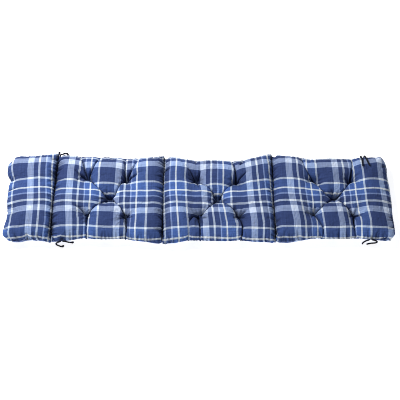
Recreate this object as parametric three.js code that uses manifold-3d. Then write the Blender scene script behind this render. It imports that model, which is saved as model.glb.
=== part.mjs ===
// A tufted sun lounger cushion in four sections, lying on its back, with four pairs of cord ties.
// Millimetres. X runs along the cushion from its head to its foot, Y across it, and Z up from the floor.
// "near" is the long edge at -Y and "far" is the one at +Y.
import * as THREE from "three";
import { mergeGeometries, mergeVertices } from "three/addons/utils/BufferGeometryUtils.js";
import Module from "manifold-3d";

const wasm = await Module();
wasm.setup();

// Driving dimensions of the filled cover
const SEAM_TOP = 33; // where upper and lower cloth meet, in every seam
const SEAM_BOTTOM = 29;
const ROLL_AT_SEAM = 84; // how far from a seam the filling is back at full height
const ROLL_AT_EDGE = 105;
const ROLL_UNDERNEATH = 62; // the same on the side that lies on the floor
const TUFT_REACH = 96;
const TUFT_DEPTH = 0.96; // share of the filling's height that a tuft pulls down
const TUFT_DEPTH_UNDERNEATH = 0.42;
const CREASE_REACH = 62;
const PINCH_REACH = 34; // how far along an edge a crease draws it in
const TUFT_PINCH = 6; // how much the edge beside a tuft is drawn in
const CORNER_RADIUS = 46;
const SCALLOP_REACH = 165; // how far from a seam the long edges are drawn in

// The head end, the three seams and the foot end, with the half width that each keeps
const LINES = [
  { x: -976, near: 250, far: 246 },
  { x: -740, near: 255, far: 260 },
  { x: -183, near: 263, far: 255 },
  { x: 382, near: 264, far: 264 },
  { x: 976, near: 249, far: 240 },
];

// Each section, with its faces along it, the half widths between its tufts and the height of its filling.
// A tufted one has its tufts in a quincunx: two far, one middle, two near.
const SECTIONS = [
  { name: "headrest", cells: 14, near: 248, far: 243, crown: 87, tufts: [] },
  {
    name: "back",
    cells: 32,
    near: 238,
    far: 226,
    crown: 84,
    tufts: [
      { x: -580, y: 106 },
      { x: -374, y: 92 },
      { x: -461, y: -16 },
      { x: -567, y: -112 },
      { x: -372, y: -119 },
    ],
  },
  {
    name: "seat",
    cells: 32,
    near: 243,
    far: 214,
    crown: 83,
    tufts: [
      { x: -11, y: 86 },
      { x: 183, y: 79 },
      { x: 94, y: -17 },
      { x: -2, y: -113 },
      { x: 198, y: -112 },
    ],
  },
  {
    name: "legs",
    cells: 34,
    near: 235,
    far: 221,
    crown: 85,
    tufts: [
      { x: 596, y: 89 },
      { x: 775, y: 92 },
      { x: 691, y: -7 },
      { x: 580, y: -96 },
      { x: 779, y: -106 },
    ],
  },
];
const CELLS_ACROSS = 34;
const COARSER_UNDERNEATH = 2; // the lower cloth has one face for so many of the upper cloth's, each way
const SEAM_CROWDING = 0.35; // 0 spaces the faces evenly, and nearer 1 gathers them at the seams
const EDGE_CROWDING = 0.5;
const SNAP_REACH = 45; // how far around a tuft the faces shift to bring a corner onto it

// Creases in each quincunx, from one of its tufts to another or to a long edge
const CREASES = [
  { from: 0, to: 2, depth: 0.42 },
  { from: 1, to: 2, depth: 0.42 },
  { from: 3, to: 2, depth: 0.4 },
  { from: 4, to: 2, depth: 0.4 },
  { from: 0, to: "far", depth: 0.46 },
  { from: 1, to: "far", depth: 0.46 },
  { from: 3, to: "near", depth: 0.42 },
  { from: 4, to: "near", depth: 0.42 },
];

// Gathers where an edge has no tuft beside it
const HEADREST_PINCHES = [
  { x: -852, side: "near", draw: 7 },
  { x: -858, side: "far", draw: 3 },
];
const END_PINCHES = [
  { y: 92, draw: 9 },
  { y: -86, draw: 7 },
];

// Driving dimensions of the ties
const CORD = 8;
const CORD_SIDES = 8;
const CORD_STEP = 1.25 * CORD;
const FLOOR_CLEARANCE = 0.3;
const KNOT_RADIUS = 7;
const KNOT_STRETCH = 1.25;

// Each tie is sewn into the edge seam at x, and each of its two strands has points of
// [millimetres along the edge from there, out from the edge, up from the floor].
const TIES = [
  {
    name: "tie_head_near",
    x: -686,
    side: "near",
    knotted: true,
    strands: {
      left: [
        [-4.6, 3.8, 30.8], [-8, 4.8, 29.4], [-14.2, 5.1, 25.4], [-20.4, 4.8, 20.8], [-26, 5.3, 16],
        [-30, 6.8, 11.4], [-29.8, 8.9, 7.4], [-25.5, 11.3, 5], [-18.8, 13.7, 4.3], [-11.6, 17.1, 4.3],
        [-3.8, 20, 4.3], [4.6, 19.4, 4.3],
      ],
      right: [
        [4.6, 3.8, 30.8], [8, 4.6, 29.6], [14.1, 3.1, 26], [19.9, 1.9, 21.6], [25.7, 1.1, 16.6],
        [31.5, -0.1, 11.8], [37.9, -1.5, 7.6], [44.1, -2.1, 5], [51, -1.6, 4.3],
      ],
    },
  },
  {
    name: "tie_head_far",
    x: -738,
    side: "far",
    knotted: true,
    strands: {
      left: [
        [-4.6, 0.5, 31], [-4.7, 5, 31], [-5, 10.5, 29.4], [-5.4, 16, 24.6], [-5.8, 21.5, 17.4],
        [-6.2, 27, 10], [-6.6, 32.5, 5.5], [-7, 39, 4.3],
      ],
      right: [
        [4.6, 0.5, 31], [4.8, 5, 31], [5.8, 10.5, 29.4], [7.4, 16.3, 24.6], [9.6, 22, 17.4],
        [12.6, 27.8, 10], [16.6, 33.4, 5.7], [22, 37.4, 4.5], [28.4, 38.2, 4.3], [34, 35.6, 4.3],
        [38, 30.4, 4.3],
      ],
    },
  },
  {
    name: "tie_foot_far",
    x: 856,
    side: "far",
    knotted: false,
    strands: {
      left: [
        [-4.6, 0.5, 31], [-4.8, 5, 31.4], [-6, 11.5, 34], [-8.2, 17.5, 40.5], [-10.2, 20.6, 49.5],
        [-11.2, 18.6, 59], [-11, 11.6, 67], [-10.4, 1.6, 72.6], [-10, -9.5, 76.4], [-10, -22, 79.8],
        [-10, -35, 82.6], [-10.4, -48, 85.4], [-11, -57, 87],
      ],
      right: [
        [4.6, 0.5, 31], [4.8, 5, 31.4], [5.6, 11.5, 34], [7, 17.5, 40.5], [8, 20.6, 49.5],
        [8.6, 18.6, 59], [9.8, 11.6, 67], [11.6, 1.6, 72.6], [13.6, -9.5, 76.4], [16, -22, 79.8],
        [18.8, -35, 82.6], [21.8, -48, 85.4], [24.2, -57, 87],
      ],
    },
  },
  {
    name: "tie_foot_near",
    x: 856,
    side: "near",
    knotted: false,
    strands: {
      left: [
        [-4.6, 3.8, 30.8], [-8, 4.8, 29.4], [-13.1, 5.5, 25.4], [-18.7, 4.8, 20.6], [-24.5, 4.9, 15.6],
        [-29.8, 6, 10.8], [-34.4, 7.8, 6.8], [-37.9, 10.7, 4.9], [-40.2, 15.5, 4.3],
      ],
      right: [
        [4.6, 3.8, 30.8], [8, 4.8, 29.4], [15.8, 5.1, 25.8], [23.5, 5.1, 21.6], [30.2, 5.8, 17.2],
        [33.3, 7.4, 12.8], [31.3, 8.7, 9], [25.2, 9.3, 6], [16.9, 9.7, 4.6], [9.9, 10.1, 4.3],
        [2.8, 11, 4.3], [-4.4, 12.4, 4.3], [-11.6, 14.1, 4.3], [-18.3, 16.1, 4.3],
      ],
    },
  },
];

const clamp01 = (t) => Math.min(1, Math.max(0, t));

// A quarter round: 0 at a seam with a steep rise, 1 from t = 1 on.
const dome = (t) => Math.sqrt(1 - (1 - clamp01(t)) ** 2);

// A softer rise from a tuft, 1 from t = 1 on.
const swell = (t) => Math.sin((clamp01(t) * Math.PI) / 2) ** 0.85;

// 1 at a seam, falling smoothly to 0 at t = 1.
const fade = (t) => (1 - clamp01(t)) ** 1.6;

// A rounded valley, 0 at its bottom and 1 from t = 1 on.
const valley = (t) => 1 - (1 - clamp01(t) ** 2) ** 2;

const bump = (distance, reach) => Math.exp(-((distance / reach) ** 2));

function sectionIndexAt(x) {
  const before = LINES.slice(1, -1).findIndex((line) => x < line.x);
  return before < 0 ? SECTIONS.length - 1 : before;
}

// The half width at x on one side, scalloped between the seams and pinched beside the tufts.
function halfWidth(x, side) {
  const index = sectionIndexAt(x);
  const section = SECTIONS[index];
  let half = section[side];
  for (const line of [LINES[index], LINES[index + 1]]) {
    half += (line[side] - section[side]) * fade(Math.abs(x - line.x) / SCALLOP_REACH);
  }
  for (const crease of CREASES.filter((c) => c.to === side && section.tufts.length)) {
    half -= TUFT_PINCH * bump(x - section.tufts[crease.from].x, PINCH_REACH);
  }
  for (const pinch of HEADREST_PINCHES.filter((p) => p.side === side)) {
    half -= pinch.draw * bump(x - pinch.x, PINCH_REACH);
  }
  return half;
}

// How far the two short ends are drawn in at y, by their gathers and their rounded corners.
function endDraw(y, near, far) {
  let draw = 0;
  for (const pinch of END_PINCHES) {
    draw += pinch.draw * bump(y - pinch.y, PINCH_REACH);
  }
  const toCorner = Math.min(y + near, far - y);
  return draw + CORNER_RADIUS * (1 - dome(toCorner / CORNER_RADIUS));
}

const TUFTS = SECTIONS.flatMap((section) => section.tufts);

const CREASE_LINES = SECTIONS.filter((section) => section.tufts.length).flatMap((section) =>
  CREASES.map(({ from, to, depth }) => {
    const a = section.tufts[from];
    const edges = { far: halfWidth(a.x, "far"), near: -halfWidth(a.x, "near") };
    const b = to in edges ? { x: a.x, y: edges[to] } : section.tufts[to];
    return { a, b, depth };
  }),
);

function distanceToSegment(x, y, a, b) {
  const dx = b.x - a.x;
  const dy = b.y - a.y;
  const share = clamp01(((x - a.x) * dx + (y - a.y) * dy) / (dx * dx + dy * dy));
  return Math.hypot(x - a.x - share * dx, y - a.y - share * dy);
}

const distanceToSeam = (x) => Math.min(...LINES.slice(1, -1).map((line) => Math.abs(x - line.x)));

// Height of the upper cloth. toEdge is the distance to the cushion's outline.
function topHeight(x, y, toEdge) {
  let share = dome(toEdge / ROLL_AT_EDGE) * dome(distanceToSeam(x) / ROLL_AT_SEAM);
  for (const tuft of TUFTS) {
    const distance = Math.hypot(x - tuft.x, y - tuft.y);
    share *= 1 - TUFT_DEPTH * (1 - swell(distance / TUFT_REACH));
  }
  let crease = 0;
  for (const { a, b, depth } of CREASE_LINES) {
    const distance = distanceToSegment(x, y, a, b);
    crease = Math.max(crease, depth * (1 - valley(distance / CREASE_REACH)));
  }
  const crown = SECTIONS[sectionIndexAt(x)].crown;
  return SEAM_TOP + (crown - SEAM_TOP) * share * (1 - crease);
}

// Height of the lower cloth, which is flat on the floor away from seams and tufts.
function bottomHeight(x, y, toEdge) {
  let share = dome(toEdge / ROLL_UNDERNEATH) * dome(distanceToSeam(x) / ROLL_UNDERNEATH);
  for (const tuft of TUFTS) {
    const distance = Math.hypot(x - tuft.x, y - tuft.y);
    share *= 1 - TUFT_DEPTH_UNDERNEATH * (1 - swell(distance / ROLL_UNDERNEATH));
  }
  return SEAM_BOTTOM * (1 - share);
}

// Evenly spaced shares from 0 to 1, moved towards both ends.
const crowd = (t, amount) => t - (amount * Math.sin(2 * Math.PI * t)) / (2 * Math.PI);

// The x of each column of corners, from the head end to the foot end.
const COLUMNS = [LINES[0].x];
SECTIONS.forEach(({ cells }, index) => {
  const start = LINES[index].x;
  const length = LINES[index + 1].x - start;
  for (let cell = 1; cell <= cells; cell++) {
    COLUMNS.push(start + length * crowd(cell / cells, SEAM_CROWDING));
  }
});

// The place in plan of a corner, before the corners beside each tuft are brought onto it.
function evenPlace(column, row) {
  const along = COLUMNS[column];
  const near = halfWidth(along, "near");
  const far = halfWidth(along, "far");
  const y = -near + (near + far) * crowd(row / CELLS_ACROSS, EDGE_CROWDING);
  const toEnd = LINES[LINES.length - 1].x - Math.abs(along);
  const x = along - Math.sign(along) * endDraw(y, near, far) * fade(toEnd / ROLL_AT_EDGE);
  return { x, y, toEdge: Math.min(y + near, far - y, toEnd) };
}

// For each tuft, the shift that brings the nearest corner onto it. Both cloths have the corners
// whose column and row are even.
const SHIFTS = TUFTS.map((tuft) => {
  let nearest = null;
  for (let column = 0; column < COLUMNS.length; column += COARSER_UNDERNEATH) {
    for (let row = 0; row <= CELLS_ACROSS; row += COARSER_UNDERNEATH) {
      const { x, y } = evenPlace(column, row);
      const distance = Math.hypot(x - tuft.x, y - tuft.y);
      if (!nearest || distance < nearest.distance) nearest = { x, y, distance };
    }
  }
  return { from: nearest, dx: tuft.x - nearest.x, dy: tuft.y - nearest.y };
});

function place(column, row) {
  const corner = evenPlace(column, row);
  let { x, y } = corner;
  for (const { from, dx, dy } of SHIFTS) {
    const share = bump(Math.hypot(corner.x - from.x, corner.y - from.y), SNAP_REACH);
    x += dx * share;
    y += dy * share;
  }
  return { x, y, toEdge: corner.toEdge };
}

// One cloth, as a plane of quads whose corners are moved into place. In each quad the diagonal is
// the one that follows the cloth better, so that creases run true whichever way they lean.
function clothGeometry(coarser, heightAt) {
  const cellsAlong = (COLUMNS.length - 1) / coarser;
  const cellsAcross = CELLS_ACROSS / coarser;
  const plane = new THREE.PlaneGeometry(cellsAlong, cellsAcross, cellsAlong, cellsAcross);
  plane.deleteAttribute("normal");
  plane.deleteAttribute("uv");
  const point = plane.getAttribute("position");
  const edgeShare = [];
  for (let i = 0; i < point.count; i++) {
    const column = Math.round(point.getX(i) + cellsAlong / 2) * coarser;
    const row = Math.round(point.getY(i) + cellsAcross / 2) * coarser;
    const { x, y, toEdge } = place(column, row);
    point.setXYZ(i, x, y, heightAt(x, y, toEdge));
    edgeShare.push(toEdge);
  }
  const index = plane.getIndex().array;
  for (let i = 0; i < index.length; i += 6) {
    const [a, b, d, , c] = index.slice(i, i + 6);
    const corners = [a, b, c, d];
    const mean = (values) => values.reduce((sum, value) => sum + value, 0) / values.length;
    const middle = heightAt(
      mean(corners.map((k) => point.getX(k))),
      mean(corners.map((k) => point.getY(k))),
      mean(corners.map((k) => edgeShare[k])),
    );
    const alongBD = Math.abs(mean([point.getZ(b), point.getZ(d)]) - middle);
    const alongAC = Math.abs(mean([point.getZ(a), point.getZ(c)]) - middle);
    if (alongAC < alongBD) index.set([a, b, c, a, c, d], i);
  }
  return plane;
}

function flipped(geometry) {
  const index = geometry.getIndex().array;
  for (let i = 0; i < index.length; i += 3) {
    [index[i + 1], index[i + 2]] = [index[i + 2], index[i + 1]];
  }
  return geometry;
}

// The corners of the outline, going round from the head end's near corner with the outside on the right.
function outline() {
  const lastColumn = COLUMNS.length - 1;
  const corners = [];
  for (let column = 0; column < lastColumn; column++) corners.push([column, 0]);
  for (let row = 0; row < CELLS_ACROSS; row++) corners.push([lastColumn, row]);
  for (let column = lastColumn; column > 0; column--) corners.push([column, CELLS_ACROSS]);
  for (let row = CELLS_ACROSS; row > 0; row--) corners.push([0, row]);
  return corners.map(([column, row]) => place(column, row));
}

// How far out the outline lies at x on one side, between its corners.
function rimAt(x, side) {
  const row = side === "near" ? 0 : CELLS_ACROSS;
  const after = COLUMNS.findIndex((_, column) => place(column, row).x > x);
  const a = place(after - 1, row);
  const b = place(after, row);
  return Math.abs(a.y + ((b.y - a.y) * (x - a.x)) / (b.x - a.x));
}

// The narrow band of the edge seam, between the upper cloth's corners and the lower cloth's fewer ones.
function seamBand() {
  const corners = outline();
  const triangles = [];
  for (let i = 0; i < corners.length; i += COARSER_UNDERNEATH) {
    const upper = [];
    for (let k = 0; k <= COARSER_UNDERNEATH; k++) {
      const { x, y } = corners[(i + k) % corners.length];
      upper.push([x, y, SEAM_TOP]);
    }
    const start = [upper[0][0], upper[0][1], SEAM_BOTTOM];
    const end = [...upper.at(-1).slice(0, 2), SEAM_BOTTOM];
    triangles.push(start, end, upper.at(-1));
    for (let k = COARSER_UNDERNEATH; k > 0; k--) triangles.push(start, upper[k], upper[k - 1]);
  }
  const band = new THREE.BufferGeometry();
  band.setAttribute("position", new THREE.Float32BufferAttribute(triangles.flat(), 3));
  return mergeVertices(band);
}

function cushionGeometry() {
  const upper = clothGeometry(1, topHeight);
  const lower = flipped(clothGeometry(COARSER_UNDERNEATH, bottomHeight));
  return mergeVertices(mergeGeometries([upper, lower, seamBand()]));
}

// A closed geometry as a solid of manifold-3d, and back again.
function toSolid(geometry) {
  const bare = new THREE.BufferGeometry();
  bare.setAttribute("position", geometry.getAttribute("position"));
  bare.setIndex(geometry.getIndex());
  const merged = mergeVertices(bare);
  const vertProperties = new Float32Array(merged.getAttribute("position").array);
  const triVerts = new Uint32Array(merged.getIndex().array);
  return new wasm.Manifold(new wasm.Mesh({ numProp: 3, vertProperties, triVerts }));
}

function toGeometry(solid) {
  const { vertProperties, triVerts } = solid.getMesh();
  const geometry = new THREE.BufferGeometry();
  geometry.setAttribute("position", new THREE.BufferAttribute(vertProperties, 3));
  geometry.setIndex(new THREE.BufferAttribute(triVerts, 1));
  geometry.computeVertexNormals();
  return geometry;
}

// A round cord along a smooth curve, with a simple knot over its free end if it has one.
function strandGeometry(curve, knotted) {
  const section = new THREE.Shape();
  for (let side = 0; side < CORD_SIDES; side++) {
    const angle = (2 * Math.PI * side) / CORD_SIDES;
    const corner = [(CORD / 2) * Math.cos(angle), (CORD / 2) * Math.sin(angle)];
    if (side) section.lineTo(...corner);
    else section.moveTo(...corner);
  }
  const steps = Math.ceil(curve.getLength() / CORD_STEP) + 3;
  const cord = new THREE.ExtrudeGeometry(section, { steps, extrudePath: curve, bevelEnabled: false });
  if (!knotted) return cord;
  const knot = new THREE.SphereGeometry(KNOT_RADIUS, 10, 8);
  knot.scale(1, KNOT_STRETCH, 1);
  const turn = new THREE.Quaternion();
  turn.setFromUnitVectors(new THREE.Vector3(0, 1, 0), curve.getTangentAt(1));
  knot.applyQuaternion(turn);
  knot.translate(...curve.getPointAt(1).setZ(KNOT_RADIUS + FLOOR_CLEARANCE));
  return toGeometry(toSolid(cord).add(toSolid(knot)));
}

const cloth = new THREE.MeshStandardMaterial({ color: 0x3a4f8f, roughness: 0.85, metalness: 0 });
const cord = new THREE.MeshStandardMaterial({ color: 0x14151f, roughness: 0.8, metalness: 0 });

const lounger = new THREE.Group();

const cushion = new THREE.Mesh(cushionGeometry(), cloth);
cushion.name = "cushion";
lounger.add(cushion);

for (const { name, x, side, knotted, strands } of TIES) {
  const outwards = side === "near" ? -1 : 1;
  for (const [strand, points] of Object.entries(strands)) {
    const start = x + points[0][0];
    const edge = outwards * Math.max(rimAt(start - CORD / 2, side), rimAt(start + CORD / 2, side));
    const route = points.map(
      ([along, out, up]) => new THREE.Vector3(x + along, edge + outwards * out, up),
    );
    const curve = new THREE.CatmullRomCurve3(route, false, "centripetal");
    const mesh = new THREE.Mesh(strandGeometry(curve, knotted), cord);
    mesh.name = `${name}_${strand}`;
    lounger.add(mesh);
  }
}

export default lounger;
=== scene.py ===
"""A tufted sun lounger cushion in blue plaid, lying on its back, with four pairs of cord ties.

The upper cloth is relaxed over the filling by a small cloth solver, and the plaid follows the flat cloth.
Metres, in the row frame: X runs from head to foot, Y from the near long edge to the far one, and Z up.
"""

import math

import bpy
import numpy as np
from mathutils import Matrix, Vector


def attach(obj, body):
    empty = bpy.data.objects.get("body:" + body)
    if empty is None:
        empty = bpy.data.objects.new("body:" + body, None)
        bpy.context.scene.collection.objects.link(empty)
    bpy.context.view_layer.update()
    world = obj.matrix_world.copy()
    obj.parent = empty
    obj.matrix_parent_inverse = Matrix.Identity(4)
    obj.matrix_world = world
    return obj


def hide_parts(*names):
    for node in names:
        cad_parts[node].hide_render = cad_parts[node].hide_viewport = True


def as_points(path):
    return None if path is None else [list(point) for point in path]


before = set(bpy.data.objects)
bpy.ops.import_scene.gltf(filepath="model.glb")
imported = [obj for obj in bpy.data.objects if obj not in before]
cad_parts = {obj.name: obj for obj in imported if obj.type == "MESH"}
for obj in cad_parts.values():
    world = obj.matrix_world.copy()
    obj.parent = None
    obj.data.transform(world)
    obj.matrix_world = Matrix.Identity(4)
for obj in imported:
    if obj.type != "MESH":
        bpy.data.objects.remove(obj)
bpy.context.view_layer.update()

TINY = 1e-9  # keeps a division by a length from failing
LINE_STEPS = 24  # points on each stretch of a smooth line, before they are spaced

# The camera: its target, the photograph's viewing angle, and the lens on a square sensor
CAMERA_TARGET = Vector((0.0033, -0.016, 0.04))
CAMERA_ELEVATION = math.radians(58.6)
CAMERA_DISTANCE = 4.598
CAMERA_LENS = 81.0
CAMERA_SENSOR = 36.0
PIXEL_FILTER = 1.0

# A roll below is its reach and its squareness: 2 makes its side a quarter ellipse, and more makes it steeper
# where it starts. A fade is the reach over which something fades out, and its curve's power.

# The filled cover
SEAMS_X = [-0.74, -0.183, 0.382]
END_X = 0.976
SEAM_TOP = 0.027
SEAM_BOTTOM = 0.023
RIM_Z = 0.031
SEAM_ROLL = (0.08, 2.5)
EDGE_ROLL = (0.105, 2.0)
BASE_ROLL = (0.03, 2.0)  # how the seams' depth gives way to the rim's height
UNDER_ROLL = (0.062, 2.0)
FLOOR_GAP = 0.0004
CROWNS = [0.087, 0.084, 0.083, 0.085]
TYPICAL_WIDTH = 0.49

# Where the solid has its outline in plan, and how far out its ends and its long edges lie at least
OUTLINE_Z = 0.033
OUTLINE_SLACK = 1e-4
OUTLINE_FROM = (0.9, 0.17)
OUTWARDS = {"near": -1, "far": 1, "head": -1, "foot": 1}

# The tufts of each section. Where a value is a pair, its second one is for the tufts near the viewer.
TUFTS = [
    [],
    [(-0.58, 0.106), (-0.374, 0.092), (-0.461, -0.016), (-0.567, -0.112), (-0.372, -0.119)],
    [(-0.011, 0.086), (0.183, 0.079), (0.094, -0.017), (-0.002, -0.113), (0.198, -0.112)],
    [(0.596, 0.089), (0.775, 0.092), (0.691, -0.007), (0.58, -0.096), (0.779, -0.106)],
]
ALL_TUFTS = [tuft for group in TUFTS for tuft in group]
MIDDLE_TUFT = TUFTS[2][2]
NEAR_TUFTS = -0.05  # they lie nearer than this
TUFT_TOP = (0.033, 0.056)
TUFT_SINK = (0.55, 0.42)  # share of the height taken away around a tuft
TUFT_FADE = (0.09, 1.6)
PIT_SINK = (0.85, 0.25)
PIT_FADE = (0.024, 1.2)
PIT_SLIT = (0.026, 0.013)
PIT_CORE = (0.012, 1)
TUFT_BOTTOM = 0.012
DIMPLE_FADE = (0.06, 2)
QUILTED = 0.14  # how much lower the filling is between the tufts than beside the seams
QUILT_BLEND = 0.08

# Creases of each section: the points that each runs through, with whole numbers for the section's tufts, and
# the share of the filling's height that it takes away at its start, halfway and at its end
CREASES = [
    [
        ([(-0.972, 0.098), (-0.95, 0.09), (-0.925, 0.07)], 0.45, 0.3, 0),
        ([(-0.972, -0.075), (-0.955, -0.072), (-0.93, -0.06)], 0.45, 0.3, 0),
        ([(-0.851, -0.25), (-0.852, -0.225), (-0.856, -0.195)], 0.5, 0.3, 0),
    ],
    [
        ([0, (-0.555, 0.082), (-0.514, 0.034), (-0.481, 0.002), 2], 0.7, 0.5, 0.7),
        ([1, (-0.399, 0.075), (-0.418, 0.034), (-0.436, -0.003), 2], 0.7, 0.5, 0.7),
        ([2, (-0.487, -0.038), (-0.516, -0.06), (-0.544, -0.08), 3], 0.7, 0.5, 0.65),
        ([2, (-0.434, -0.036), (-0.407, -0.062), (-0.385, -0.088), 4], 0.7, 0.5, 0.65),
        ([3, (-0.564, -0.154), (-0.564, -0.2), (-0.559, -0.24)], 0.65, 0.5, 0.5),
        ([4, (-0.368, -0.155), (-0.363, -0.2), (-0.367, -0.242)], 0.65, 0.5, 0.5),
        ([0, (-0.591, 0.139), (-0.603, 0.175), (-0.625, 0.232)], 0.65, 0.45, 0.3),
        ([0, (-0.562, 0.139), (-0.547, 0.175), (-0.52, 0.228)], 0.65, 0.45, 0.3),
        ([1, (-0.384, 0.129), (-0.386, 0.17), (-0.387, 0.224)], 0.65, 0.45, 0.3),
        ([1, (-0.353, 0.134), (-0.336, 0.165), (-0.31, 0.222)], 0.65, 0.35, 0.2),
        ([0, (-0.614, 0.117), (-0.645, 0.136), (-0.69, 0.15)], 0.6, 0.3, 0),
        ([1, (-0.329, 0.108), (-0.296, 0.12), (-0.26, 0.134)], 0.6, 0.25, 0),
        ([3, (-0.596, -0.078), (-0.622, -0.066), (-0.66, -0.048)], 0.6, 0.35, 0),
        ([4, (-0.343, -0.11), (-0.326, -0.107), (-0.3, -0.096)], 0.6, 0.2, 0),
    ],
    [
        ([0, (0.018, 0.062), (0.049, 0.04), (0.073, 0.01), 2], 0.7, 0.35, 0.7),
        ([1, (0.155, 0.053), (0.133, 0.029), (0.112, 0.004), 2], 0.7, 0.5, 0.7),
        ([2, (0.072, -0.044), (0.05, -0.07), (0.028, -0.09), 3], 0.7, 0.3, 0.7),
        ([2, (0.13, -0.046), (0.16, -0.068), (0.183, -0.088), 4], 0.7, 0.42, 0.65),
        ([4, (0.212, -0.142), (0.217, -0.179), (0.212, -0.215), (0.205, -0.246)], 0.7, 0.55, 0.5),
        ([3, (0.004, -0.163), (0.003, -0.213), (0.006, -0.245)], 0.7, 0.5, 0.3),
        ([3, (-0.025, -0.112), (-0.048, -0.15), (-0.053, -0.2), (-0.058, -0.248)], 0.45, 0.22, 0.4),
        ([0, (-0.033, 0.11), (-0.051, 0.137), (-0.08, 0.168)], 0.7, 0.4, 0),
        ([0, (-0.002, 0.11), (0.006, 0.138), (0.012, 0.165)], 0.6, 0.35, 0),
        ([(-0.021, 0.14), (-0.02, 0.176), (-0.019, 0.222)], 0, 0.3, 0.3),
        ([1, (0.187, 0.11), (0.183, 0.156), (0.168, 0.208)], 0.7, 0.5, 0.3),
        ([1, (0.215, 0.101), (0.235, 0.115), (0.262, 0.134)], 0.6, 0.4, 0),
        ([(0.196, 0.145), (0.217, 0.176), (0.24, 0.212)], 0, 0.3, 0.3),
        ([4, (0.218, -0.099), (0.241, -0.09), (0.262, -0.08)], 0.6, 0.3, 0),
        ([4, (0.237, -0.122), (0.285, -0.137)], 0.6, 0.2, 0),
        ([0, (-0.045, 0.084), (-0.08, 0.105)], 0.6, 0.3, 0),
    ],
    [
        ([0, (0.607, 0.062), (0.627, 0.03), (0.655, 0.004), 2], 0.7, 0.5, 0.7),
        ([1, (0.761, 0.062), (0.741, 0.033), (0.72, 0.012), 2], 0.7, 0.5, 0.7),
        ([2, (0.722, -0.038), (0.746, -0.066), (0.764, -0.084), 4], 0.65, 0.4, 0.65),
        ([2, (0.655, -0.04), (0.626, -0.066), (0.604, -0.08), 3], 0.65, 0.2, 0.5),
        ([3, (0.602, -0.138), (0.617, -0.175), (0.614, -0.21), (0.604, -0.242)], 0.6, 0.4, 0.35),
        ([3, (0.562, -0.101), (0.53, -0.096)], 0.6, 0.3, 0),
        ([4, (0.772, -0.155), (0.778, -0.205), (0.786, -0.24)], 0.65, 0.4, 0.3),
        ([4, (0.807, -0.108), (0.845, -0.112)], 0.6, 0.25, 0),
        ([0, (0.565, 0.125), (0.547, 0.165), (0.534, 0.232)], 0.7, 0.5, 0.35),
        ([0, (0.554, 0.098), (0.52, 0.105)], 0.6, 0.3, 0),
        ([1, (0.785, 0.129), (0.793, 0.165), (0.798, 0.222)], 0.7, 0.45, 0.35),
        ([1, (0.818, 0.092), (0.85, 0.097)], 0.6, 0.25, 0),
    ],
]
CREASE_STEP = 0.003
CREASE_REACH = 0.05
CREASE_SIDE = (1, 2.0)  # a roll over its reach
SHOULDER = 0.75  # how much of a crease's depth its wide shoulders have
SLIT_REACH = 0.0065  # the narrow slit in its bottom
SLIT_DEPTH = 0.026
SHALLOW = 0.22  # a crease no deeper than this has no slit
SHALLOW_BLEND = 0.38
CREASE_PINCH = 0.0022  # half the width of cloth that a crease swallows
PINCH_REACH = 0.012
PINCH_DEPTH = 0.4  # from this depth on it swallows all of that

# Small gathers that fan out from every tuft: how many in each section, their lengths and their depths
GATHERS = [0, 7, 11, 8]
GATHER_LENGTH = (0.025, 0.065)
GATHER_DEPTH = (0.003, 0.009)
GATHER_REACH = 0.009

# Small pleats where the cloth is gathered into the seams and the edge: their spacing, lengths and depths
PLEAT_SPACING = (0.011, 0.026)
PLEAT_LENGTH = (0.012, 0.05)
PLEAT_DEPTH = (0.002, 0.0075)
PLEAT_REACH = 0.008
PLEATED = {"seam": 0.24, "long": 0.93, "end": 0.2}  # how far from the middle of each the pleats go
FAR_PLEATS = 0.45  # how deep they are along the far edge, of what they are elsewhere
FOLD_START = 0.003
FOLD_POINTS = 14
FOLD_TAPER = 0.8
FOLD_BOW = 9
FOLD_LEAN = 0.35
KEPT_FOLDS = 0.8  # of the gathers' and pleats' depth, which the relaxing evens out
UNFOLDED_RIM = 0.018

# Fine wrinkles, which the lattice is too coarse to form. A larger furrow number makes them narrower.
FAN_WRINKLES = 17  # how many fan out from a tuft
FAN_BEND = 0.5
FAN_CELL = 0.05  # size of the waves' cells, outwards
FAN_START = (0.012, 0.024)
FAN_FADE = (0.085, 1.2)
FAN_FURROW = 2.6
FAN_MIDDLE = 1.6  # how much deeper they are at the middle tuft of the seat
WRINKLE_SPACING = 0.013
WRINKLE_FURROW = 2.4
WRINKLE_FADE = (0.045, 1)
SEAM_WRINKLE_START = 0.006
SEAM_WRINKLE_LENGTH = 0.06
EDGE_WRINKLE_START = 0.02
EDGE_WRINKLE_LENGTH = 0.07
EDGE_WRINKLES = (0.4, 0.7)  # how deep they are on the far and the near half
WRINKLE_DEPTH = 0.0056
CRUMPLE = 0.0008
CRUMPLE_SIZE = (0.021, 0.024)

# Lumps of the filling: for each size, how high they are. Their grid starts outside the cushion.
LUMPS = [(0.055, 0.002), (0.024, 0.0009)]
LUMPS_FROM = (-1.05, -0.35)
LUMPS_SPAN = (2.1, 0.7)

# Random numbers: their seeds, and the cells of a noise, with where on it the seams and the edge lie
SEEDS = {"folds": 7, "lumps": 11, "fan": 20, "seam": 40, "edge": 50, "crumple": 60, "bend": 90}
NOISE_CELLS = (64, 64)
NOISE_AT = {"seam": 20, "edge": 80}

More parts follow.
